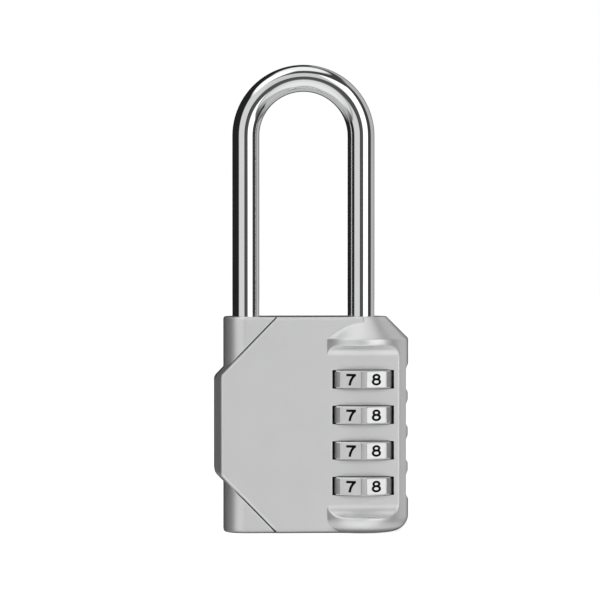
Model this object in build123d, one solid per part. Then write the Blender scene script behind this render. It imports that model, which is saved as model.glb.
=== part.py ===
from build123d import *

import math
import os

# Resettable four-dial combination padlock with a long round shackle.
# Millimetres, +Z up, front facing -Y. The origin is the middle of the underside.
# The long leg of the shackle runs down the middle of the dial barrel, and the short leg
# plugs into a post at the other side of the body.

# ---- Working values for cutters, fits and picking edges ----
BIG = 60                     # reaches past the body from anywhere inside it
OVERRUN = 1                  # how far a cutter runs past the face it opens
TOUCH = 0.01                 # an edge this close to a place counts as being on it
NEAR = 0.1                   # a wider margin, for edges that a fillet has moved
FIT_GAP = 0.03               # between parts that are clamped together
RUNNING_GAP = 0.02           # between small parts that rest on one another

# ---- Driving dimensions: body ----
BODY_HEIGHT = 47.8
BODY_HALF_WIDTH = 21.65
FACE_Y = 6.9                 # half thickness of the flat part of the body
BARREL_RADIUS = 10.55
BARREL_X = BODY_HALF_WIDTH - BARREL_RADIUS
BARREL_TOP_RADIUS = 5.65     # the barrel's shoulder is a 45 degree cone
BARREL_FOOT_ROUND = 3.6
SHOULDER_ROUND = 0.6
BLOCK_LEFT_FACE_X = -20.2    # left edge of the flat face
BLOCK_WAIST_Y = 3.6          # the side bevel runs from the face back to this depth
CORNER_CUT_X = -7.7          # where a corner cut meets the top or the bottom
CORNER_CUT_Z = 12.9          # height of a corner cut along the left edge of the face
WAIST_CUT_X = -8.68          # the same cut on the wider outline at the waist
WAIST_CUT_Z = 13.4
FACE_CORNER_ROUND = 1.0
WAIST_CORNER_ROUND = 1.8
CROWN_ROUND = 0.35           # where the barrel's cone meets its flat top
FACE_EDGE_ROUND = 0.65
SEAM_CHAMFER = 0.12

# ---- Dial panel cut across the front of the barrel ----
PANEL_BOTTOM_Z = 3.7
PANEL_TOP_Z = 41.4
PANEL_TOP_COVE = 2.4
PANEL_BOTTOM_COVE = 3.0
LIP_ROUND = 0.4
WINDOW_ROUND = 0.15
BORE_CHAMFER = 0.25

# ---- Dials ----
DIAL_COUNT = 4
DIAL_PITCH = 7.85
TOP_DIAL_Z = 34.0
DIAL_HEIGHT = 3.94
DIAL_SLOT_HEIGHT = 4.04
DIAL_SLOT_RADIUS = 9.53
DIAL_RIB_RADIUS = 9.43
DIAL_FACET_RADIUS = 9.05
DIAL_RIB_CREST_HALF = 0.52
DIAL_RIB_BASE_HALF = 0.74
DIAL_RIB_BASE_RADIUS = 9.2
DIAL_EDGE_CHAMFER = 0.25
DIAL_BORE_RADIUS = 4.7
DIAL_NOTCH_RADIUS = 5.3
DIAL_NOTCH_WIDTH = 1.5
DIAL_NOTCH_DEPTH = 1.2
DIAL_RELIEF_RADIUS = 5.4
DIGIT_COUNT = 10
DIGIT_STEP = 360 / DIGIT_COUNT
EIGHT_ANGLE = -72            # the eight stands just right of the front rib
DIGIT_HEIGHT = 2.56
DIGIT_WIDTH = 2.2
DIGIT_STROKE = 0.54
DIGIT_DEPTH = 0.15
SMALL_BOWL_HALF_WIDTH = 0.95
SMALL_BOWL_HALF_HEIGHT = 0.72
LARGE_BOWL_HALF_HEIGHT = 0.80
OPEN_BOWL_HALF_HEIGHT = 0.82
BOWL_END_SHARE = 0.85        # a bowl's stroke is thinner at its top and bottom

# ---- Finger scoops on the side of the barrel ----
SCOOP_FLOOR_X = 9.75         # distance of the scoop's floor from the barrel axis
SCOOP_CREST_X = 10.29        # the ridges between scoops stop here
SCOOP_FLOOR_HALF = 2.2
SCOOP_EDGE_HALF = 3.55
SIDE_SLOT_HALF_WIDTH = 4.0

# ---- Shackle ----
ROD_RADIUS = 3.0
SHORT_LEG_X = BARREL_X - 25.7
BOW_CENTRE_Z = 87.9
LONG_LEG_SHOULDER_Z = 38.0
LONG_LEG_END_Z = 3.6
CORE_RADIUS = 2.0
TOE_END_Z = 41.6
TOE_CHAMFER = 0.6
LUG_WIDTH = 2.4
LUG_HEIGHT = 2.0
TOP_LUG_Z = 33.15            # underside of the highest lug
RING_BOTTOM_Z = 4.15
RING_THICKNESS = 0.8
RING_GROOVE_RADIUS = 1.6
RING_GAP = 2.6

# ---- Combination sleeves, each turned by its dial ----
SLEEVE_TOP_Z = 37.9
SLEEVE_GAP = 0.05            # between one sleeve and the next
SLEEVE_HEIGHT = DIAL_PITCH - SLEEVE_GAP
SLEEVE_RADIUS = 4.6
SLEEVE_CHAMBER_RADIUS = 3.15
SLEEVE_WEB = 1.5
SLEEVE_WEB_BORE = 2.1
GATE_WIDTH = 2.7
TOOTH_RADIUS = 5.2
TOOTH_WIDTH = 1.3
TOOTH_HEIGHT = 0.9
TOOTH_DROP = 0.15            # below the top face of the dial
TOOTH_ROOT = 0.5             # how deep a tooth is set into the sleeve's wall

# ---- Bores and cavities in the housing ----
SLEEVE_BORE_RADIUS = 4.75
SLEEVE_BORE_TOP_Z = 37.95
SHACKLE_BORE_RADIUS = 3.06
CAVITY_FLOOR_Z = 1.6

# ---- Reset spring, thrust washer ----
WASHER_TOP_Z = 6.05
WASHER_THICKNESS = 0.5
WASHER_INNER_RADIUS = 3.25
SPRING_WIRE_RADIUS = 0.35
SPRING_COIL_RADIUS = 3.95
SPRING_BOTTOM_Z = CAVITY_FLOOR_Z + RUNNING_GAP
SPRING_TURNS = 3.5

# ---- Detent spring, a flat strip with one ridge for each dial ----
DETENT_BACK_X = 0.75
DETENT_THICKNESS = 0.3
DETENT_HALF_WIDTH = 1.9
DETENT_BOTTOM_Z = 7.2
DETENT_TOP_Z = 37.4
DETENT_CLEARANCE = 0.1
DETENT_SLOT_DEPTH = 1.2      # from the back of the strip, with room for it to flex
RIDGE_RADIUS = 1.0
RIDGE_HEIGHT = 2.6
RIDGE_GAP = 0.03

# ---- Post round the short leg ----
POST_LEFT_X = -19.6
POST_RIGHT_X = -6.6
POST_FACE_Y = 6.55
POST_WAIST_Y = 5.2
POST_CORNER_ROUND = 5.0
POST_EDGE_ROUND = 0.6
POST_GROOVE = 0.4            # level gap between the post's corners and the housing face
SOCKET_CLEARANCE = 0.3       # below the end of the short leg

# ---- Rivets set from the rear ----
RIVET_RADIUS = 1.25
RIVET_HEAD_RADIUS = 2.2
RIVET_HEAD_THICKNESS = 1.1
RIVET_HEAD_SINK = 0.05       # below the rear face
RIVET_RIM_CHAMFER = 0.15
RIVET_FIT = 0.01
RIVET_TIP_GAP = 0.1
RIVET_END_Y = -5.9
RIVET_PLACES = [(-13.1, 15.0), (-13.1, 32.8), (-2.9, 5.0), (-2.9, 42.8)]

# ---- Values that follow ----
barrel_axis = Pos(BARREL_X, 0, 0)
window_half_width = math.sqrt(DIAL_SLOT_RADIUS**2 - FACE_Y**2)
dial_heights = [TOP_DIAL_Z - DIAL_PITCH * row for row in range(DIAL_COUNT)]


def upright_cylinder(radius, bottom, top):
    """A cylinder on the barrel axis between two heights."""
    middle = (bottom + top) / 2
    return Pos(BARREL_X, 0, middle) * Cylinder(radius, top - bottom)


def box_between(low, high):
    """A box from its lowest corner to its highest corner."""
    size = [b - a for a, b in zip(low, high)]
    centre = [(a + b) / 2 for a, b in zip(low, high)]
    return Pos(*centre) * Box(*size)


def hexagon_outline(left_x, cut_x, cut_z, depth_y, corner_round, grow=0.0):
    """Outline of the flat block seen from the front, at one depth."""
    corners = [
        (left_x - grow, cut_z),
        (left_x - grow, BODY_HEIGHT - cut_z),
        (cut_x - grow, BODY_HEIGHT),
        (BARREL_X, BODY_HEIGHT),
        (BARREL_X, 0),
        (cut_x - grow, 0),
    ]
    front = Plane(origin=(0, depth_y, 0), x_dir=(1, 0, 0), z_dir=(0, -1, 0))
    shape = make_face(Polyline(*corners, close=True))
    left_corners = shape.vertices().sort_by(Axis.X)[:2]
    return front * fillet(left_corners, corner_round)


def front_block():
    """The front half of the flat block: an upright back and a bevelled face."""
    face = hexagon_outline(
        BLOCK_LEFT_FACE_X, CORNER_CUT_X, CORNER_CUT_Z, -FACE_Y, FACE_CORNER_ROUND
    )
    waist = hexagon_outline(
        -BODY_HALF_WIDTH, WAIST_CUT_X, WAIST_CUT_Z, -BLOCK_WAIST_Y, WAIST_CORNER_ROUND
    )
    bevelled = loft([face, waist], ruled=True)
    straight = extrude(waist, -BLOCK_WAIST_Y)
    block = bevelled + straight
    rim = block.faces().sort_by(Axis.Y)[0].edges()
    outer_rim = rim.filter_by(lambda edge: edge.center().X < BARREL_X - NEAR)
    return fillet(outer_rim, FACE_EDGE_ROUND)


def full_barrel():
    """The round dial housing: conical shoulder above, rounded foot below."""
    shoulder_z = BODY_HEIGHT - (BARREL_RADIUS - BARREL_TOP_RADIUS)
    profile = make_face(
        Polyline(
            (0, 0),
            (BARREL_RADIUS, 0),
            (BARREL_RADIUS, shoulder_z),
            (BARREL_TOP_RADIUS, BODY_HEIGHT),
            (0, BODY_HEIGHT),
            close=True,
        )
    )
    by_distance = profile.vertices().sort_by(Axis.X)
    rim = by_distance[-2:].sort_by(Axis.Y)
    profile = fillet(rim[0], BARREL_FOOT_ROUND)
    shoulder = profile.vertices().filter_by(lambda v: abs(v.Y - shoulder_z) < TOUCH)
    profile = fillet(shoulder, SHOULDER_ROUND)
    crown = profile.vertices().filter_by(
        lambda v: abs(v.Y - BODY_HEIGHT) < TOUCH and v.X > TOUCH
    )
    profile = fillet(crown, CROWN_ROUND)
    return barrel_axis * revolve(Plane.XZ * profile, Axis.Z)


def panel_cutter():
    """Clears the front of the barrel back to the flat face, coved at both ends."""
    outside_y = -BARREL_RADIUS - OVERRUN
    profile = make_face(
        Polyline(
            (-FACE_Y, PANEL_BOTTOM_Z),
            (-FACE_Y, PANEL_TOP_Z),
            (outside_y, PANEL_TOP_Z),
            (outside_y, PANEL_BOTTOM_Z),
            close=True,
        )
    )
    inner = profile.vertices().sort_by(Axis.X)[-2:].sort_by(Axis.Y)
    profile = fillet(inner[1], PANEL_TOP_COVE)
    lower = profile.vertices().filter_by(
        lambda v: abs(v.X + FACE_Y) < TOUCH and v.Y < PANEL_BOTTOM_Z + TOUCH
    )
    profile = fillet(lower, PANEL_BOTTOM_COVE)
    side = Plane(origin=(0, 0, 0), x_dir=(0, 1, 0), z_dir=(1, 0, 0))
    return extrude(side * profile, BIG, both=True)


def post_plan(left_x, right_x, face_y):
    """Plan outline of the post: square to the right, well rounded to the left."""
    width = right_x - left_x
    plan = Pos((left_x + right_x) / 2, 0) * Rectangle(width, 2 * face_y)
    left_corners = plan.vertices().sort_by(Axis.X)[:2]
    return fillet(left_corners, POST_CORNER_ROUND)


def clamped_space(grow):
    """Everything in front of and behind the flat block, seen from the front."""
    outline = hexagon_outline(
        BLOCK_LEFT_FACE_X, CORNER_CUT_X, CORNER_CUT_Z, 0, FACE_CORNER_ROUND, grow
    )
    return extrude(outline, BIG, both=True)


def post_pocket():
    """The space inside the housing that the post fills."""
    plan = post_plan(
        POST_LEFT_X - FIT_GAP, POST_RIGHT_X + FIT_GAP, POST_FACE_Y + FIT_GAP
    )
    pocket = extrude(plan, BODY_HEIGHT)
    waist_y = POST_WAIST_Y + FIT_GAP
    waist = pocket & box_between((-BIG, -waist_y, 0), (BIG, waist_y, BODY_HEIGHT))
    return waist + (pocket - clamped_space(POST_GROOVE - FIT_GAP))


def scoop_cutter():
    """Cuts the sloped finger scoops and the side slots that the dials show through."""
    slope = (SCOOP_EDGE_HALF - SCOOP_FLOOR_HALF) / (BARREL_RADIUS - SCOOP_FLOOR_X)
    outer_x = BARREL_RADIUS + OVERRUN
    outer_half = SCOOP_FLOOR_HALF + slope * (outer_x - SCOOP_FLOOR_X)
    profile = make_face(
        Polyline(
            (SCOOP_FLOOR_X, -SCOOP_FLOOR_HALF),
            (outer_x, -outer_half),
            (outer_x, outer_half),
            (SCOOP_FLOOR_X, SCOOP_FLOOR_HALF),
            close=True,
        )
    )
    scoop = Pos(0, BARREL_RADIUS, 0) * extrude(Plane.XZ * profile, 2 * BARREL_RADIUS)
    slot_low = (DIAL_BORE_RADIUS, -SIDE_SLOT_HALF_WIDTH, -DIAL_SLOT_HEIGHT / 2)
    slot_high = (outer_x, SIDE_SLOT_HALF_WIDTH, DIAL_SLOT_HEIGHT / 2)
    one = scoop + box_between(slot_low, slot_high)
    cutter = box_between(
        (BARREL_X + SCOOP_CREST_X, -BARREL_RADIUS, dial_heights[-1]),
        (BARREL_X + outer_x, BARREL_RADIUS, dial_heights[0]),
    )
    for height in dial_heights:
        cutter += Pos(BARREL_X, 0, height) * one
    return cutter


def lying_cylinder(x, z, radius, front_y, rear_y):
    """A cylinder lying front to back."""
    middle = (front_y + rear_y) / 2
    return Pos(x, middle, z) * Rot(90, 0, 0) * Cylinder(radius, rear_y - front_y)


def rivet_holes():
    """Blind holes from the rear, each with a counterbore for its head."""
    holes = []
    rear_y = FACE_Y + OVERRUN
    for x, z in RIVET_PLACES:
        hole = lying_cylinder(x, z, RIVET_RADIUS, RIVET_END_Y - RIVET_TIP_GAP, rear_y)
        head = lying_cylinder(
            x, z, RIVET_HEAD_RADIUS + FIT_GAP, FACE_Y - RIVET_HEAD_THICKNESS, rear_y
        )
        holes.append(hole + head)
    return holes


def housing_cavities():
    """Everything that is hollow inside the two housing halves."""
    detent_half = DETENT_HALF_WIDTH + DETENT_CLEARANCE
    detent_bottom = DETENT_BOTTOM_Z - DETENT_CLEARANCE
    detent_top = DETENT_TOP_Z + DETENT_CLEARANCE
    cavities = [
        upright_cylinder(SHACKLE_BORE_RADIUS, CAVITY_FLOOR_Z + OVERRUN, BODY_HEIGHT + OVERRUN),
        upright_cylinder(SLEEVE_BORE_RADIUS, CAVITY_FLOOR_Z, SLEEVE_BORE_TOP_Z),
        box_between(
            (DETENT_BACK_X - DETENT_CLEARANCE, -detent_half, detent_bottom),
            (DETENT_BACK_X + DETENT_SLOT_DEPTH, detent_half, detent_top),
        ),
        post_pocket(),
        scoop_cutter(),
    ]
    half_slot = DIAL_SLOT_HEIGHT / 2
    for height in dial_heights:
        slot = upright_cylinder(DIAL_SLOT_RADIUS, height - half_slot, height + half_slot)
        cavities.append(slot)
    return cavities + rivet_holes()


def soften_seam(half):
    """A small chamfer all round the face where the two shells meet."""
    seam = half.edges().filter_by(lambda e: abs(e.bounding_box().min.Y) < TOUCH)
    seam = seam.filter_by(lambda e: abs(e.bounding_box().max.Y) < TOUCH)
    return chamfer(seam, SEAM_CHAMFER)


def is_lip(edge):
    """True for an edge where the dial panel breaks out through the barrel's skin."""
    box = edge.bounding_box()
    if box.max.Y > NEAR - FACE_Y or box.min.Z < PANEL_BOTTOM_Z - NEAR:
        return False
    places = [edge @ share for share in (0, 0.5, 1)]
    radii = [math.hypot(place.X - BARREL_X, place.Y) for place in places]
    return box.max.Z < PANEL_TOP_Z + NEAR and min(radii) > BARREL_RADIUS - TOUCH


def is_window_edge(edge):
    """True for an edge of a dial window on the flat face."""
    box = edge.bounding_box()
    on_face = abs(box.min.Y + FACE_Y) < TOUCH and abs(box.max.Y + FACE_Y) < TOUCH
    beside_axis = max(abs(box.min.X - BARREL_X), abs(box.max.X - BARREL_X))
    lowest = dial_heights[-1] - DIAL_SLOT_HEIGHT
    highest = dial_heights[0] + DIAL_SLOT_HEIGHT
    within_dials = box.min.Z > lowest and box.max.Z < highest
    return on_face and beside_axis < window_half_width + NEAR and within_dials


def is_bore_mouth(edge):
    """True for an edge of a shackle bore in the top face."""
    box = edge.bounding_box()
    radius = edge.radius if edge.geom_type == GeomType.CIRCLE else 0
    return box.min.Z > BODY_HEIGHT - TOUCH and abs(radius - SHACKLE_BORE_RADIUS) < TOUCH


def housing_halves():
    """The front and rear die-cast shells, which meet on the plane through the dials."""
    block = front_block()
    barrel = full_barrel()
    top = BODY_HEIGHT + OVERRUN
    front_space = box_between((-BIG, -BIG, -OVERRUN), (BIG, 0, top))
    rear_space = box_between((-BIG, 0, -OVERRUN), (BIG, BIG, top))
    front_barrel = (barrel & front_space) - panel_cutter()
    front_barrel = fillet(front_barrel.edges().filter_by(is_lip), LIP_ROUND)
    front = soften_seam(block + front_barrel)
    rear = soften_seam(mirror(block, Plane.XZ) + (barrel & rear_space))
    for cavity in housing_cavities():
        front -= cavity
        rear -= cavity
    front = fillet(front.edges().filter_by(is_window_edge), WINDOW_ROUND)
    front = chamfer(front.edges().filter_by(is_bore_mouth), BORE_CHAMFER)
    rear = chamfer(rear.edges().filter_by(is_bore_mouth), BORE_CHAMFER)
    return front, rear


def shackle_post():
    """Post with the socket for the short leg, thinner where the shells clamp it."""
    post = extrude(post_plan(POST_LEFT_X, POST_RIGHT_X, POST_FACE_Y), BODY_HEIGHT)
    ends = post.faces().filter_by(Axis.Z).edges()
    post = fillet(ends.filter_by(lambda e: e.center().X < POST_RIGHT_X - NEAR), POST_EDGE_ROUND)
    clamped = clamped_space(POST_GROOVE)
    top = BODY_HEIGHT + OVERRUN
    for side in (-1, 1):
        inner_y, outer_y = sorted((side * POST_WAIST_Y, side * BIG))
        post -= clamped & box_between((-BIG, inner_y, -OVERRUN), (BIG, outer_y, top))
    socket_bottom = TOE_END_Z - SOCKET_CLEARANCE
    socket = Cylinder(SHACKLE_BORE_RADIUS, top - socket_bottom)
    post -= Pos(SHORT_LEG_X, 0, (socket_bottom + top) / 2) * socket
    for x, z in RIVET_PLACES[:2]:
        post -= lying_cylinder(x, z, RIVET_RADIUS, -BIG, BIG)
    return chamfer(post.edges().filter_by(is_bore_mouth), BORE_CHAMFER)


def housing_rivets():
    """Four rivets with their heads just below the rear face."""
    rivets = []
    under_head_y = FACE_Y - RIVET_HEAD_THICKNESS
    head_y = FACE_Y - RIVET_HEAD_SINK
    for x, z in RIVET_PLACES:
        shank = lying_cylinder(x, z, RIVET_RADIUS - RIVET_FIT, RIVET_END_Y, head_y)
        head = lying_cylinder(x, z, RIVET_HEAD_RADIUS, under_head_y, head_y)
        rim = head.edges().filter_by(GeomType.CIRCLE).sort_by(Axis.Y)[-1]
        rivets.append(chamfer(rim, RIVET_RIM_CHAMFER) + shank)
    return Compound(rivets)


def shackle():
    """Round rod bent to a bow, with four lugs on the thinned end of the long leg."""
    legs_middle_x = (BARREL_X + SHORT_LEG_X) / 2
    bow_radius = (BARREL_X - SHORT_LEG_X) / 2
    long_section = Plane.XY * Pos(BARREL_X, 0) * Circle(ROD_RADIUS)
    bow_axis = Axis((legs_middle_x, 0, 0), (0, -1, 0))
    bow = Pos(0, 0, BOW_CENTRE_Z) * revolve(long_section, bow_axis, 180)
    rod = bow + upright_cylinder(ROD_RADIUS, LONG_LEG_SHOULDER_Z, BOW_CENTRE_Z)
    toe_length = BOW_CENTRE_Z - TOE_END_Z
    toe = Pos(SHORT_LEG_X, 0, TOE_END_Z + toe_length / 2) * Cylinder(ROD_RADIUS, toe_length)
    toe = chamfer(toe.edges().sort_by(Axis.Z)[0], TOE_CHAMFER)
    rod += toe
    rod += upright_cylinder(CORE_RADIUS, LONG_LEG_END_Z, LONG_LEG_SHOULDER_Z)
    rod -= ring_groove()
    reach = upright_cylinder(ROD_RADIUS, LONG_LEG_END_Z, LONG_LEG_SHOULDER_Z)
    for row in range(DIAL_COUNT):
        lug_bottom = TOP_LUG_Z - DIAL_PITCH * row
        lug = box_between(
            (BARREL_X - ROD_RADIUS - OVERRUN, -LUG_WIDTH / 2, lug_bottom),
            (BARREL_X, LUG_WIDTH / 2, lug_bottom + LUG_HEIGHT),
        )
        rod += lug & reach
    return rod


def ring_groove():
    """Groove near the end of the long leg for the retaining ring."""
    top = RING_BOTTOM_Z + RING_THICKNESS
    outside = upright_cylinder(CORE_RADIUS + OVERRUN, RING_BOTTOM_Z, top)
    return outside - upright_cylinder(RING_GROOVE_RADIUS, RING_BOTTOM_Z, top)


def retaining_ring():
    """Open ring that stops the shackle from being pulled right out."""
    bottom = RING_BOTTOM_Z + RUNNING_GAP
    top = RING_BOTTOM_Z + RING_THICKNESS - RUNNING_GAP
    ring = upright_cylinder(ROD_RADIUS, bottom, top)
    ring -= upright_cylinder(RING_GROOVE_RADIUS + RUNNING_GAP, bottom, top)
    ring -= box_between((BARREL_X, -RING_GAP / 2, bottom), (BIG, RING_GAP / 2, top))
    return ring


def digit_facet(value, dial_z):
    """Plane on the facet of a dial that carries the given digit, reading upright."""
    angle = math.radians(EIGHT_ANGLE + (value - 8) * DIGIT_STEP)
    outward = (math.cos(angle), math.sin(angle), 0)
    across = (-math.sin(angle), math.cos(angle), 0)
    origin = (
        BARREL_X + DIAL_FACET_RADIUS * outward[0],
        DIAL_FACET_RADIUS * outward[1],
        dial_z,
    )
    return Plane(origin=origin, x_dir=across, z_dir=outward)


def bar(start, end):
    """Straight stroke of a digit."""
    length = math.dist(start, end)
    angle = math.degrees(math.atan2(end[1] - start[1], end[0] - start[0]))
    middle = ((start[0] + end[0]) / 2, (start[1] + end[1]) / 2)
    return Pos(*middle) * Rot(0, 0, angle) * Rectangle(length, DIGIT_STROKE)


def bowl(centre_y, half_width, half_height):
    """Closed oval stroke of a digit."""
    end_stroke = BOWL_END_SHARE * DIGIT_STROKE
    inner = Ellipse(half_width - DIGIT_STROKE, half_height - end_stroke)
    return Pos(0, centre_y) * (Ellipse(half_width, half_height) - inner)


def patch(low, high):
    """Rectangle between two corners, used to open a bowl."""
    size = (high[0] - low[0], high[1] - low[1])
    return Pos((low[0] + high[0]) / 2, (low[1] + high[1]) / 2) * Rectangle(*size)


def digit_shape(value):
    """Bold plain numeral, centred on its facet."""
    top = DIGIT_HEIGHT / 2
    side = DIGIT_WIDTH / 2
    half = DIGIT_STROKE / 2
    upper_bowl = bowl(
        top - SMALL_BOWL_HALF_HEIGHT, SMALL_BOWL_HALF_WIDTH, SMALL_BOWL_HALF_HEIGHT
    )
    lower_bowl = bowl(LARGE_BOWL_HALF_HEIGHT - top, side, LARGE_BOWL_HALF_HEIGHT)
    high_bowl = bowl(top - OPEN_BOWL_HALF_HEIGHT, side, OPEN_BOWL_HALF_HEIGHT)
    low_bowl = bowl(OPEN_BOWL_HALF_HEIGHT - top, side, OPEN_BOWL_HALF_HEIGHT)
    if value == 0:
        shape = bowl(0, side, top)
    elif value == 1:
        shape = bar((0.15, -top), (0.15, top)) + bar((-0.62, 0.62), (0.15, top - half))
    elif value == 2:
        arch = high_bowl - patch((-side - 0.1, -0.5), (0.05, top - 0.75))
        foot = bar((-side, half - top), (side, half - top))
        shape = arch + bar((0.72, 0.22), (-side + 0.3, 0.12 - top)) + foot
        shape -= patch((0.2, -0.42), (0.62, 0.02))
    elif value == 3:
        shape = upper_bowl + lower_bowl - patch((-side - 0.1, -0.75), (-0.2, 0.82))
    elif value == 4:
        stem = bar((0.42, -top), (0.42, top))
        cross = bar((-side, -0.55), (side, -0.55))
        shape = stem + cross + bar((-side + 0.2, -0.5), (0.42, top - 0.15))
    elif value == 5:
        cap = bar((-side + 0.2, top - half), (side - 0.1, top - half))
        belly = low_bowl - patch((-side - 0.1, -0.62), (-0.2, 0.2))
        shape = cap + belly + bar((-side + 0.38, top - half), (-side + 0.28, 0.0))
        shape += bar((-side + 0.28, 0.1), (-0.1, 0.12))
    elif value == 6:
        stem = trace(
            ThreePointArc((half - side, -0.45), (-0.5, 0.66), (0.62, top - half)),
            DIGIT_STROKE,
        )
        shape = low_bowl + stem
    elif value == 7:
        cap = bar((-side, top - half), (side, top - half))
        sweep_line = ThreePointArc((side - 0.3, top - 0.3), (0.05, 0.0), (-0.32, -top))
        shape = cap + trace(sweep_line, DIGIT_STROKE)
    elif value == 8:
        shape = upper_bowl + lower_bowl
    else:
        shape = Rot(0, 0, 180) * digit_shape(6)
    return shape & Rectangle(DIGIT_WIDTH + 2 * TOUCH, DIGIT_HEIGHT)


def digits(dial_z):
    """The ten filled numerals of one dial, each a thin inlay."""
    inlays = []
    for value in range(DIGIT_COUNT):
        drawn = digit_facet(value, dial_z) * digit_shape(value)
        inlays += extrude(drawn, -DIGIT_DEPTH).solids()
    return Compound(inlays)


def dial(dial_z):
    """Ten-sided wheel with a rib on each corner and notches that grip its sleeve."""
    top = dial_z + DIAL_HEIGHT / 2
    bottom = dial_z - DIAL_HEIGHT / 2
    core_radius = DIAL_FACET_RADIUS / math.cos(math.radians(DIGIT_STEP / 2))
    plan = Pos(BARREL_X, 0) * Rot(0, 0, -90) * RegularPolygon(core_radius, DIGIT_COUNT)
    disc = upright_cylinder(DIAL_RIB_RADIUS, bottom, top)
    disc = chamfer(disc.edges().filter_by(GeomType.CIRCLE), DIAL_EDGE_CHAMFER)
    wheel = Pos(0, 0, bottom) * extrude(plan, DIAL_HEIGHT)
    wheel = chamfer(wheel.faces().filter_by(Axis.Z).edges(), DIAL_EDGE_CHAMFER)
    inner_x = DIAL_RIB_BASE_RADIUS - OVERRUN
    outer_x = DIAL_RIB_RADIUS + OVERRUN
    rib_plan = make_face(
        Polyline(
            (inner_x, -DIAL_RIB_BASE_HALF),
            (DIAL_RIB_BASE_RADIUS, -DIAL_RIB_BASE_HALF),
            (DIAL_RIB_RADIUS, -DIAL_RIB_CREST_HALF),
            (outer_x, -DIAL_RIB_CREST_HALF),
            (outer_x, DIAL_RIB_CREST_HALF),
            (DIAL_RIB_RADIUS, DIAL_RIB_CREST_HALF),
            (DIAL_RIB_BASE_RADIUS, DIAL_RIB_BASE_HALF),
            (inner_x, DIAL_RIB_BASE_HALF),
            close=True,
        )
    )
    rib = extrude(Plane.XY * rib_plan, BIG, both=True)
    rib &= box_between((0, -BIG, bottom), (BIG, BIG, top))
    for index in range(DIGIT_COUNT):
        wheel += barrel_axis * Rot(0, 0, -90 + DIGIT_STEP * index) * rib
    wheel = wheel & disc
    notch_bottom = top - DIAL_NOTCH_DEPTH
    wheel -= upright_cylinder(DIAL_BORE_RADIUS, notch_bottom, top)
    wheel -= upright_cylinder(DIAL_RELIEF_RADIUS, bottom, notch_bottom)
    notch_reach = upright_cylinder(DIAL_NOTCH_RADIUS, notch_bottom, top)
    for index in range(DIGIT_COUNT // 2):
        slot = box_between(
            (-BIG, -DIAL_NOTCH_WIDTH / 2, notch_bottom), (BIG, DIAL_NOTCH_WIDTH / 2, top)
        )
        wheel -= (barrel_axis * Rot(0, 0, DIGIT_STEP * index) * slot) & notch_reach
    return wheel


def sleeve(row):
    """Cup with a gated web that holds one lug, keyed to its dial by two teeth."""
    top = SLEEVE_TOP_Z - DIAL_PITCH * row
    bottom = top - SLEEVE_HEIGHT
    web_bottom = top - SLEEVE_WEB
    cup = upright_cylinder(SLEEVE_RADIUS, bottom, top)
    cup -= upright_cylinder(SLEEVE_CHAMBER_RADIUS, bottom, web_bottom)
    cup -= upright_cylinder(SLEEVE_WEB_BORE, web_bottom, top)
    gate = box_between(
        (BARREL_X - SLEEVE_CHAMBER_RADIUS - OVERRUN, -GATE_WIDTH / 2, web_bottom),
        (BARREL_X, GATE_WIDTH / 2, top),
    )
    cup -= gate & upright_cylinder(SLEEVE_CHAMBER_RADIUS, web_bottom, top)
    tooth_top = dial_heights[row] + DIAL_HEIGHT / 2 - TOOTH_DROP
    tooth_bottom = tooth_top - TOOTH_HEIGHT
    teeth = box_between(
        (BARREL_X - BIG, -TOOTH_WIDTH / 2, tooth_bottom),
        (BARREL_X + BIG, TOOTH_WIDTH / 2, tooth_top),
    )
    ring = upright_cylinder(TOOTH_RADIUS, tooth_bottom, tooth_top)
    ring -= upright_cylinder(SLEEVE_RADIUS - TOOTH_ROOT, tooth_bottom, tooth_top)
    return cup + (teeth & ring)


def thrust_washer():
    """Washer between the lowest sleeve and the reset spring."""
    bottom = WASHER_TOP_Z - WASHER_THICKNESS
    washer = upright_cylinder(SLEEVE_RADIUS, bottom, WASHER_TOP_Z)
    return washer - upright_cylinder(WASHER_INNER_RADIUS, bottom, WASHER_TOP_Z)


def reset_spring():
    """Coil spring that pushes the sleeves up into their dials."""
    free_top = WASHER_TOP_Z - WASHER_THICKNESS - RUNNING_GAP
    rise = free_top - SPRING_BOTTOM_Z - 2 * SPRING_WIRE_RADIUS
    path = Helix(rise / SPRING_TURNS, rise, SPRING_COIL_RADIUS)
    wire = Plane(origin=path @ 0, z_dir=path % 0) * Circle(SPRING_WIRE_RADIUS)
    coil = sweep(wire, path=path, is_frenet=True)
    return Pos(BARREL_X, 0, SPRING_BOTTOM_Z + SPRING_WIRE_RADIUS) * coil


def detent_spring():
    """Springy strip behind the dials, with a ridge that rests on a facet of each."""
    front_x = DETENT_BACK_X + DETENT_THICKNESS
    strip = box_between(
        (DETENT_BACK_X, -DETENT_HALF_WIDTH, DETENT_BOTTOM_Z),
        (front_x, DETENT_HALF_WIDTH, DETENT_TOP_Z),
    )
    ridge_x = BARREL_X - DIAL_FACET_RADIUS - RIDGE_GAP - RIDGE_RADIUS
    for height in dial_heights:
        strip += Pos(ridge_x, 0, height) * Cylinder(RIDGE_RADIUS, RIDGE_HEIGHT)
    behind = box_between((-BIG, -BIG, 0), (DETENT_BACK_X, BIG, BODY_HEIGHT))
    return strip - behind


def write(shape, name):
    """Save one part under its plain name."""
    export_step(shape, f"parts/{name}.step")


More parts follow.
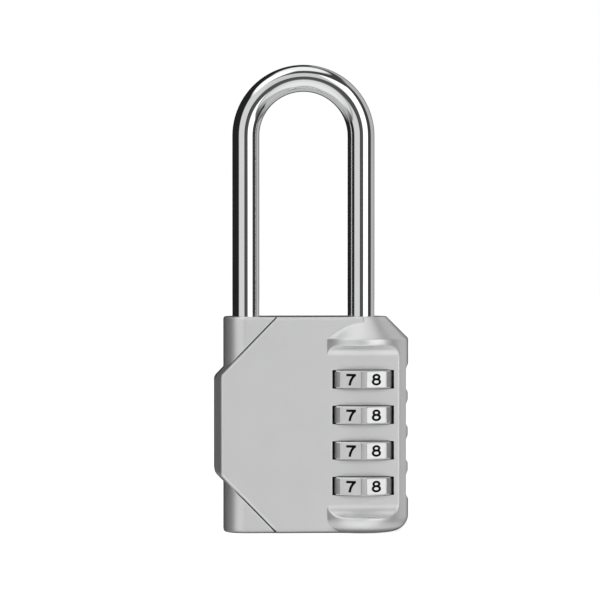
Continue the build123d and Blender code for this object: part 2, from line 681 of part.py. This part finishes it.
def main():
    """Build every part of the padlock and save it."""
    os.makedirs("parts", exist_ok=True)
    front, rear = housing_halves()
    write(front, "front_housing")
    write(rear, "rear_housing")
    write(shackle_post(), "shackle_post")
    write(housing_rivets(), "housing_rivets")
    write(shackle(), "shackle")
    write(retaining_ring(), "retaining_ring")
    write(detent_spring(), "detent_spring")
    write(reset_spring(), "reset_spring")
    write(thrust_washer(), "thrust_washer")
    for row, height in enumerate(dial_heights):
        numerals = digits(height)
        write(dial(height) - numerals, f"dial_{row + 1}")
        write(numerals, f"digits_{row + 1}")
        write(sleeve(row), f"sleeve_{row + 1}")


main()
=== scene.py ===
"""A four-dial combination padlock: its finishes, the studio around it and the camera."""
import math

import bpy
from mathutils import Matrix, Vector


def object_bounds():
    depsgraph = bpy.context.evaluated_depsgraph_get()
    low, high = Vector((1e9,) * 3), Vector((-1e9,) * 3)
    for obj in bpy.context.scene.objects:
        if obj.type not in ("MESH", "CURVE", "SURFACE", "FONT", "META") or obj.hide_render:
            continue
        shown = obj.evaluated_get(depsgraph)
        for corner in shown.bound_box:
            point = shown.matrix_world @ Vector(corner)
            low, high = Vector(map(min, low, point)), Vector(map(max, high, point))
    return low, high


MM = 0.001                      # one millimetre, in metres

# Camera: a long lens a little above the middle of the lock and a little to its left
CAMERA_DISTANCE = 559.6 * MM
CAMERA_YAW = math.radians(-2.83)
CAMERA_ELEVATION = math.radians(1.00)
CAMERA_LENS = 150.6             # mm, on a 36 mm sensor
SENSOR_WIDTH = 36.0
CLIP_START = 0.01               # metres
AIM_OFFSET = Vector((-2.52, 0.0, -0.485)) * MM   # from the lock's middle to the frame's middle

# Studio. Directions are in degrees: azimuth 0 is in front of the lock and grows to its right, and
# elevation 90 is straight up.
# The bare room, as (elevation, brightness), from the table below to the dark ceiling.
ROOM_TONES = ((-90, 0.50), (-40, 0.52), (-27, 0.45), (-19, 0.16), (-8, 0.10), (0, 0.06), (90, 0.06))
# Rectangular cards: (azimuth, elevation, half width, half height, brightness, soft edge)
CARDS = (
    (135, 18, 46, 34, 0.50, 6),       # grey wall behind on the right
    (-129, 22, 61, 38, 0.018, 5),     # black flag, left and behind
    (0, 27, 18, 15, 0.66, 4),         # small grey card above the camera
    (-38, 14, 24, 27, 0.72, 3),       # grey softbox, front left
    (36, 15, 21, 27, 1.40, 3),        # white softbox, front right
    (76, 5, 14, 38, 0.05, 4),         # black flag, right
    (-10, -50, 55, 20, 0.90, 10),     # bright table in front
    (-5, -25, 45, 10, 0.80, 8),       # its near edge
)
# Round cards: (azimuth, elevation, radius, brightness, soft edge)
DISCS = (
    (0, 88, 24, 0.98, 6),             # overhead softbox
    (-52, 58, 20, 1.25, 6),           # its wing towards the front left
    (4, 0, 9, 0.09, 4),               # the camera in its black sleeve
    (180, 0, 36, 0.015, 14),          # the dark room behind
)

# Finishes. A pair is the two ends of a range, and a tone is linear red, green and blue.
NOISE_RANGE = (0.3, 0.7)        # where nearly all of a noise texture's values lie
WHITE = (1.0, 1.0, 1.0, 1.0)
BEVEL_SAMPLES = 6
OCCLUSION_SAMPLES = 6

WEAR_AND_HIGHLIGHT_RADIUS = 0.40 * MM         # how far from an edge the polish from handling and the painted highlight reach
WEAR_AND_HIGHLIGHT_LEAN = (0.80, 0.99)        # cosine of the rounded normal's lean: full wear and painted highlight, and none
# How far the colour on an edge is lifted towards white: a painted highlight
EDGE_HIGHLIGHT_STRENGTH = 0.6
WEAR_POLISH = -0.20             # change in roughness where the edge is worn

SATIN_TONES = ((0.955, 0.957, 0.962), (0.980, 0.982, 0.985))
SATIN_METALLIC = 0.80
SATIN_ROUGHNESS = (0.42, 0.50)
SATIN_EDGE_RADIUS = 0.30 * MM   # rounding of the castings' edges
GRAIN_SIZE = 0.16 * MM          # frosted grain of the plating
GRAIN_DEPTH = 0.004 * MM
FLOW_MARK_SIZE = 9 * MM         # cloudy marks left by casting
LACQUER_ROUGHNESS = 0.10
BODY_SHADE_REACH = 1.6 * MM    # width of the gaps that get painted shade
BODY_SHADE_TONE = 0.12         # share of the metal's tone left where the painted shade is darkest
BODY_SHADE_OPEN = (0.22, 0.80)  # share of open sky where the painted shade is full, and where it ends

CHROME_TONES = ((0.86, 0.865, 0.875), (0.90, 0.902, 0.905))
CHROME_SPECKLE_SIZE = 0.5 * MM  # uneven haze left by polishing
CHROME_SPECKLE_ROUGHNESS = (0.0, 0.02)  # what it adds to the roughness
CHROME_WAVE_SIZE = 14 * MM      # slow waves left by bending
CHROME_WAVE_ROUGHNESS = (0.03, 0.05)
CHROME_WAVE_DEPTH = 0.02 * MM

DIAL_TONES = ((0.84, 0.84, 0.845), (0.90, 0.90, 0.90))
DIAL_ROUGHNESS = (0.36, 0.43)
DIAL_EDGE_RADIUS = 0.1 * MM
DIAL_RING_SIZE = 1.6 * MM       # turned grain, before it is pressed flat along the dial's axis
DIAL_RING_STRETCH = (1.0, 1.0, 22.0)
DIAL_RING_DEPTH = 0.0015 * MM
DIAL_CLOUD_SIZE = 2.5 * MM
# Painted shade in the dials' narrow gaps: its reach, darkest share of the tone, and open-sky range
DIAL_SHADE_REACH = 0.6 * MM
DIAL_SHADE_TONE = 0.10
DIAL_SHADE_OPEN = (0.45, 0.96)

ENAMEL_TONES = ((0.002, 0.002, 0.002), (0.005, 0.005, 0.005))
ENAMEL_ROUGHNESS = (0.50, 0.65)
ENAMEL_SPECULAR = 0.08
ENAMEL_BLOTCH_SIZE = 0.5 * MM
ENAMEL_BLOTCH_DEPTH = 0.004 * MM

SMALL_PART_EDGE_RADIUS = 0.08 * MM
SMALL_PART_CLOUDS = 12          # size of the clouds in a small part's tone, in grains

FLOOR_HALF_WIDTH = 3.0          # metres
FLOOR_ALBEDO = 0.60
FLOOR_GLOW = 0.82

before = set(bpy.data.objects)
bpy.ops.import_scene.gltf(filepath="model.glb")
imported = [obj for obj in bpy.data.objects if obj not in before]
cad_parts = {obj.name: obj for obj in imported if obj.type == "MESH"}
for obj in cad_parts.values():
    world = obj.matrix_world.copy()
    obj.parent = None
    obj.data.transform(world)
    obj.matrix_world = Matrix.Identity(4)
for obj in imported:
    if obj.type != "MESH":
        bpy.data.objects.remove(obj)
cad_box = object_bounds()
scene = bpy.context.scene


def start_material(name):
    """An empty node material with one Principled shader. Returns (material, shader)."""
    material = bpy.data.materials.new(name)
    material.use_nodes = True
    material.node_tree.nodes.clear()
    shader = material.node_tree.nodes.new("ShaderNodeBsdfPrincipled")
    output = material.node_tree.nodes.new("ShaderNodeOutputMaterial")
    material.node_tree.links.new(shader.outputs["BSDF"], output.inputs["Surface"])
    return material, shader


def object_position(material, stretch=(1.0, 1.0, 1.0)):
    """The point on the piece in metres, stretched along the axes for directional grain."""
    nodes = material.node_tree.nodes
    place = nodes.new("ShaderNodeTexCoord")
    mapping = nodes.new("ShaderNodeMapping")
    mapping.inputs["Scale"].default_value = stretch
    material.node_tree.links.new(place.outputs["Object"], mapping.inputs["Vector"])
    return mapping.outputs["Vector"]


def noise(material, size, position, detail=3.0, roughness=0.5):
    """A grey noise whose blotches are about size metres across."""
    node = material.node_tree.nodes.new("ShaderNodeTexNoise")
    node.inputs["Scale"].default_value = 1.0 / size
    node.inputs["Detail"].default_value = detail
    node.inputs["Roughness"].default_value = roughness
    material.node_tree.links.new(position, node.inputs["Vector"])
    return node.outputs["Fac"]


def remap(material, value, low, high, span=NOISE_RANGE):
    """value becomes low at the span's first end and high at its second, and stops there."""
    start, end = span
    node = material.node_tree.nodes.new("ShaderNodeMapRange")
    node.inputs["From Min"].default_value = start
    node.inputs["From Max"].default_value = end
    node.inputs["To Min"].default_value = low
    node.inputs["To Max"].default_value = high
    material.node_tree.links.new(value, node.inputs["Value"])
    return node.outputs["Result"]


def math_node(tree, operation, *values, clamp=False):
    """A Math node in a material's or the world's tree; each value is a socket or a number."""
    node = tree.nodes.new("ShaderNodeMath")
    node.operation = operation
    node.use_clamp = clamp
    for socket, value in zip(node.inputs, values):
        if isinstance(value, (int, float)):
            socket.default_value = value
        else:
            tree.links.new(value, socket)
    return node.outputs["Value"]


def blend_colours(material, factor, dark, light):
    """dark where factor is 0, light where it is 1."""
    node = material.node_tree.nodes.new("ShaderNodeMix")
    node.data_type = "RGBA"
    node.inputs["A"].default_value = (*dark, 1.0)
    node.inputs["B"].default_value = (*light, 1.0)
    material.node_tree.links.new(factor, node.inputs["Factor"])
    return node.outputs["Result"]


def add_bump(material, shader, height, depth, normal=None):
    """height, from 0 to 1, becomes a relief of depth metres in the shader's normal."""
    node = material.node_tree.nodes.new("ShaderNodeBump")
    node.inputs["Strength"].default_value = 1.0
    node.inputs["Distance"].default_value = depth
    material.node_tree.links.new(height, node.inputs["Height"])
    if normal is not None:
        material.node_tree.links.new(normal, node.inputs["Normal"])
    material.node_tree.links.new(node.outputs["Normal"], shader.inputs["Normal"])


def rounded_edges(material, radius):
    """A normal that rounds the piece's sharp edges over radius metres."""
    node = material.node_tree.nodes.new("ShaderNodeBevel")
    node.samples = BEVEL_SAMPLES
    node.inputs["Radius"].default_value = radius
    return node.outputs["Normal"]


def edge_wear_and_highlight(material, radius):
    """1 on the crest of an edge, 0 on flat surface, by how far the rounded normal leans; it drives
    both the wear polish and a painted highlight.
    """
    nodes = material.node_tree.nodes
    geometry = nodes.new("ShaderNodeNewGeometry")
    lean = nodes.new("ShaderNodeVectorMath")
    lean.operation = "DOT_PRODUCT"
    material.node_tree.links.new(rounded_edges(material, radius), lean.inputs[0])
    material.node_tree.links.new(geometry.outputs["Normal"], lean.inputs[1])
    return remap(material, lean.outputs["Value"], 1.0, 0.0, WEAR_AND_HIGHLIGHT_LEAN)


def painted_crevice_shade(material, reach, floor, open_range):
    """Painted shade that darkens the colour in gaps narrower than about reach metres: floor deep
    inside, 1 out in the open.
    """
    node = material.node_tree.nodes.new("ShaderNodeAmbientOcclusion")
    node.samples = OCCLUSION_SAMPLES
    node.inputs["Distance"].default_value = reach
    return remap(material, node.outputs["AO"], floor, 1.0, open_range)


def darken(material, colour, amount):
    """colour, black where amount is 0."""
    node = material.node_tree.nodes.new("ShaderNodeVectorMath")
    node.operation = "SCALE"
    material.node_tree.links.new(colour, node.inputs[0])
    material.node_tree.links.new(amount, node.inputs["Scale"])
    return node.outputs["Vector"]


def satin_zinc():
    """Die-cast zinc, satin plated and lacquered: frosted grain, polished edges with a painted
    highlight, painted shade in the gaps.
    """
    material, shader = start_material("satin_zinc_finish")
    place = object_position(material)
    clouds = noise(material, FLOW_MARK_SIZE, place, detail=2.0)
    grain = noise(material, GRAIN_SIZE, place, detail=3.0, roughness=0.6)
    drift = remap(material, clouds, 0.0, 1.0)
    colour = blend_colours(material, drift, *SATIN_TONES)
    wear_and_highlight = edge_wear_and_highlight(material, WEAR_AND_HIGHLIGHT_RADIUS)
    # Painted highlight: the colour is lifted towards white along the edges; the polish in roughness
    # below is real wear
    highlighted = material.node_tree.nodes.new("ShaderNodeMix")
    highlighted.data_type = "RGBA"
    highlighted.inputs["B"].default_value = WHITE
    amount = math_node(material.node_tree, "MULTIPLY", wear_and_highlight, EDGE_HIGHLIGHT_STRENGTH)
    material.node_tree.links.new(amount, highlighted.inputs["Factor"])
    material.node_tree.links.new(colour, highlighted.inputs["A"])
    # Painted shade: the colour is darkened in narrow gaps and coves, by ambient occlusion
    painted_shade_amount = painted_crevice_shade(material, BODY_SHADE_REACH, BODY_SHADE_TONE, BODY_SHADE_OPEN)
    shaded_colour = darken(material, highlighted.outputs["Result"], painted_shade_amount)
    material.node_tree.links.new(shaded_colour, shader.inputs["Base Color"])
    shader.inputs["Metallic"].default_value = SATIN_METALLIC
    shader.inputs["Coat Weight"].default_value = 1.0
    shader.inputs["Coat Roughness"].default_value = LACQUER_ROUGHNESS
    satin = remap(material, grain, *SATIN_ROUGHNESS)
    polished = math_node(material.node_tree, "MULTIPLY", wear_and_highlight, WEAR_POLISH)
    roughness = math_node(material.node_tree, "ADD", satin, polished)
    material.node_tree.links.new(roughness, shader.inputs["Roughness"])
    add_bump(material, shader, grain, GRAIN_DEPTH, rounded_edges(material, SATIN_EDGE_RADIUS))
    return material


def chromed_steel():
    """Hard chrome over a polished rod: near mirror, with a faint uneven haze and slow waves."""
    material, shader = start_material("chromed_steel_finish")
    fine = noise(material, CHROME_SPECKLE_SIZE, object_position(material), detail=4.0)
    broad = noise(material, CHROME_WAVE_SIZE, object_position(material), detail=2.0)
    shader.inputs["Metallic"].default_value = 1.0
    drift = remap(material, broad, 0.0, 1.0)
    tone = blend_colours(material, drift, *CHROME_TONES)
    material.node_tree.links.new(tone, shader.inputs["Base Color"])
    speckle = remap(material, fine, *CHROME_SPECKLE_ROUGHNESS)
    waves = remap(material, broad, *CHROME_WAVE_ROUGHNESS)
    haze = math_node(material.node_tree, "ADD", speckle, waves)
    material.node_tree.links.new(haze, shader.inputs["Roughness"])
    add_bump(material, shader, broad, CHROME_WAVE_DEPTH)
    return material


def plated_dial():
    """Bright nickel-plated dials with a fine turned grain around their axis."""
    material, shader = start_material("plated_dial_finish")
    turned = object_position(material, DIAL_RING_STRETCH)
    rings = noise(material, DIAL_RING_SIZE, turned, detail=3.0)
    clouds = noise(material, DIAL_CLOUD_SIZE, object_position(material), detail=2.0)
    drift = remap(material, clouds, 0.0, 1.0)
    tone = blend_colours(material, drift, *DIAL_TONES)
    # Painted shade: the colour is darkened in the narrow gaps between ribs and facets
    painted_shade_amount = painted_crevice_shade(material, DIAL_SHADE_REACH, DIAL_SHADE_TONE, DIAL_SHADE_OPEN)
    material.node_tree.links.new(darken(material, tone, painted_shade_amount), shader.inputs["Base Color"])
    shader.inputs["Metallic"].default_value = 1.0
    roughness = remap(material, rings, *DIAL_ROUGHNESS)
    material.node_tree.links.new(roughness, shader.inputs["Roughness"])
    add_bump(material, shader, rings, DIAL_RING_DEPTH, rounded_edges(material, DIAL_EDGE_RADIUS))
    return material


def black_enamel():
    """Flat black paint filled into the engraved digits."""
    material, shader = start_material("black_enamel_finish")
    blotches = noise(material, ENAMEL_BLOTCH_SIZE, object_position(material), detail=3.0)
    drift = remap(material, blotches, 0.0, 1.0)
    tone = blend_colours(material, drift, *ENAMEL_TONES)
    material.node_tree.links.new(tone, shader.inputs["Base Color"])
    roughness = remap(material, blotches, *ENAMEL_ROUGHNESS)
    material.node_tree.links.new(roughness, shader.inputs["Roughness"])
    shader.inputs["Specular IOR Level"].default_value = ENAMEL_SPECULAR
    add_bump(material, shader, blotches, ENAMEL_BLOTCH_DEPTH)
    return material


def worked_metal(name, dark, light, roughness, grain_size, depth, stretch=(1.0, 1.0, 1.0)):
    """A plain metal with a tone that wanders from dark to light and a grain of grain_size metres."""
    material, shader = start_material(name)
    grain = noise(material, grain_size, object_position(material, stretch), detail=3.0)
    clouds = noise(material, SMALL_PART_CLOUDS * grain_size, object_position(material), detail=2.0)
    drift = remap(material, clouds, 0.0, 1.0)
    tone = blend_colours(material, drift, dark, light)
    material.node_tree.links.new(tone, shader.inputs["Base Color"])
    shader.inputs["Metallic"].default_value = 1.0
    material.node_tree.links.new(remap(material, grain, *roughness), shader.inputs["Roughness"])
    add_bump(material, shader, grain, depth, rounded_edges(material, SMALL_PART_EDGE_RADIUS))
    return material


def make_finishes():
    """One finish for each material slot of the record."""
    return {
        "satin_zinc": satin_zinc(),
        "chromed_steel": chromed_steel(),
        "plated_dial": plated_dial(),
        "black_enamel": black_enamel(),
        "rivet_steel": worked_metal(
            "rivet_steel_finish", dark=(0.50, 0.50, 0.51), light=(0.60, 0.60, 0.61),
            roughness=(0.28, 0.40), grain_size=0.3 * MM, depth=0.006 * MM),
        "sleeve_brass": worked_metal(
            "sleeve_brass_finish", dark=(0.72, 0.52, 0.24), light=(0.80, 0.60, 0.30),
            roughness=(0.22, 0.34), grain_size=0.25 * MM, depth=0.003 * MM, stretch=(1.0, 1.0, 12.0)),
        "spring_steel": worked_metal(
            "spring_steel_finish", dark=(0.36, 0.36, 0.37), light=(0.48, 0.48, 0.49),
            roughness=(0.24, 0.36), grain_size=0.2 * MM, depth=0.002 * MM),
    }


def dress_nodes(finishes):
    """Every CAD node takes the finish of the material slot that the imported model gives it."""
    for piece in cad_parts.values():
        for slot in piece.material_slots:
            slot.material = finishes[slot.material.name.split(".")[0]]


def inside(tree, distance, limit, softness):
    """1 where distance is below limit, falling to 0 over softness, all in radians."""
    short = math_node(tree, "SUBTRACT", limit + softness / 2, distance)
    return math_node(tree, "DIVIDE", short, softness, clamp=True)


def paint(tree, picture, mask, brightness):
    """picture, with brightness laid over it where mask is 1."""
    rest = math_node(tree, "SUBTRACT", 1.0, mask)
    kept = math_node(tree, "MULTIPLY", picture, rest)
    return math_node(tree, "MULTIPLY_ADD", mask, brightness, kept)


def room_picture(tree, elevation):
    """The bare room's brightness by elevation, on a ramp from straight down to straight up."""
    ramp = tree.nodes.new("ShaderNodeValToRGB")
    elements = ramp.color_ramp.elements
    # A new ramp has two stops of its own, and can lose the last of them only once it has others.
    elements.remove(elements[1])
    for height, brightness in ROOM_TONES:
        stop = elements.new((height + 90) / 180)
        stop.color = (brightness, brightness, brightness, 1.0)
    elements.remove(elements[0])
    tree.links.new(math_node(tree, "MULTIPLY_ADD", elevation, 1.0 / math.pi, 0.5), ramp.inputs["Fac"])
    return ramp.outputs["Color"]


def card_mask(tree, azimuth, elevation, card, soft_edge):
    """The mask of a rectangular card: its middle, height, half width and half height, in degrees."""
    middle, height, half_width, half_height = (math.radians(value) for value in card)
    softness = math.radians(soft_edge)
    turn = math_node(tree, "WRAP", math_node(tree, "SUBTRACT", azimuth, middle), math.pi, -math.pi)
    across = inside(tree, math_node(tree, "ABSOLUTE", turn), half_width, softness)
    rise = math_node(tree, "ABSOLUTE", math_node(tree, "SUBTRACT", elevation, height))
    return math_node(tree, "MULTIPLY", across, inside(tree, rise, half_height, softness))


def disc_mask(tree, direction, disc, soft_edge):
    """The mask of a round card: its azimuth, elevation and radius, in degrees."""
    azimuth, elevation, radius = (math.radians(value) for value in disc)
    softness = math.radians(soft_edge)
    level = math.cos(elevation)
    dot = tree.nodes.new("ShaderNodeVectorMath")
    dot.operation = "DOT_PRODUCT"
    tree.links.new(direction, dot.inputs[0])
    towards = (math.sin(azimuth) * level, -math.cos(azimuth) * level, math.sin(elevation))
    dot.inputs[1].default_value = towards
    return inside(tree, math_node(tree, "ARCCOSINE", dot.outputs["Value"]), radius, softness)


def studio_world():
    """Softboxes and black flags around and over the lock; the camera itself sees plain white."""
    world = bpy.data.worlds.new("studio")
    scene.world = world
    world.use_nodes = True
    tree = world.node_tree
    tree.nodes.clear()
    direction = tree.nodes.new("ShaderNodeTexCoord").outputs["Generated"]
    axes = tree.nodes.new("ShaderNodeSeparateXYZ")
    tree.links.new(direction, axes.inputs["Vector"])
    forward = math_node(tree, "MULTIPLY", axes.outputs["Y"], -1.0)
    azimuth = math_node(tree, "ARCTAN2", axes.outputs["X"], forward)
    elevation = math_node(tree, "ARCSINE", axes.outputs["Z"])
    picture = room_picture(tree, elevation)
    for *card, brightness, soft_edge in CARDS:
        mask = card_mask(tree, azimuth, elevation, card, soft_edge)
        picture = paint(tree, picture, mask, brightness)
    for *disc, brightness, soft_edge in DISCS:
        mask = disc_mask(tree, direction, disc, soft_edge)
        picture = paint(tree, picture, mask, brightness)
    studio = tree.nodes.new("ShaderNodeBackground")
    tree.links.new(picture, studio.inputs["Color"])
    backdrop = tree.nodes.new("ShaderNodeBackground")
    backdrop.inputs["Color"].default_value = WHITE
    rays = tree.nodes.new("ShaderNodeLightPath")
    choice = tree.nodes.new("ShaderNodeMixShader")
    tree.links.new(rays.outputs["Is Camera Ray"], choice.inputs["Fac"])
    tree.links.new(studio.outputs["Background"], choice.inputs[1])
    tree.links.new(backdrop.outputs["Background"], choice.inputs[2])
    output = tree.nodes.new("ShaderNodeOutputWorld")
    tree.links.new(choice.outputs["Shader"], output.inputs["Surface"])


def studio_floor():
    """A wide floor that glows white into the backdrop; it neither lights the lock nor shows in it."""
    half = FLOOR_HALF_WIDTH
    height = cad_box[0][2]
    mesh = bpy.data.meshes.new("studio_floor")
    corners = [(x, y, height) for x, y in ((-half, -half), (half, -half), (half, half), (-half, half))]
    mesh.from_pydata(corners, [], [(0, 1, 2, 3)])
    floor = bpy.data.objects.new("studio_floor", mesh)
    scene.collection.objects.link(floor)
    material, shader = start_material("white_floor")
    shader.inputs["Base Color"].default_value = (FLOOR_ALBEDO, FLOOR_ALBEDO, FLOOR_ALBEDO, 1.0)
    shader.inputs["Roughness"].default_value = 1.0
    shader.inputs["Specular IOR Level"].default_value = 0.0
    shader.inputs["Emission Color"].default_value = WHITE
    shader.inputs["Emission Strength"].default_value = FLOOR_GLOW
    mesh.materials.append(material)
    floor.visible_glossy = False
    floor.visible_diffuse = False


def product_camera():
    """The camera looks at the lock from almost straight in front; back points from lock to camera."""
    middle = (Vector(cad_box[0]) + Vector(cad_box[1])) / 2
    middle.y = 0.0
    target = middle + AIM_OFFSET
    level = math.cos(CAMERA_ELEVATION)
    side = math.sin(CAMERA_YAW) * level
    front = -math.cos(CAMERA_YAW) * level
    back = Vector((side, front, math.sin(CAMERA_ELEVATION)))
    data = bpy.data.cameras.new("product_camera")
    data.sensor_width = SENSOR_WIDTH
    data.lens = CAMERA_LENS
    data.clip_start = CLIP_START
    camera = bpy.data.objects.new("product_camera", data)
    camera.location = target + CAMERA_DISTANCE * back
    camera.rotation_euler = (-back).to_track_quat("-Z", "Y").to_euler()
    scene.collection.objects.link(camera)
    scene.camera = camera


dress_nodes(make_finishes())
studio_world()
studio_floor()
product_camera()
scene.view_settings.view_transform = "Standard"
scene.view_settings.look = "None"
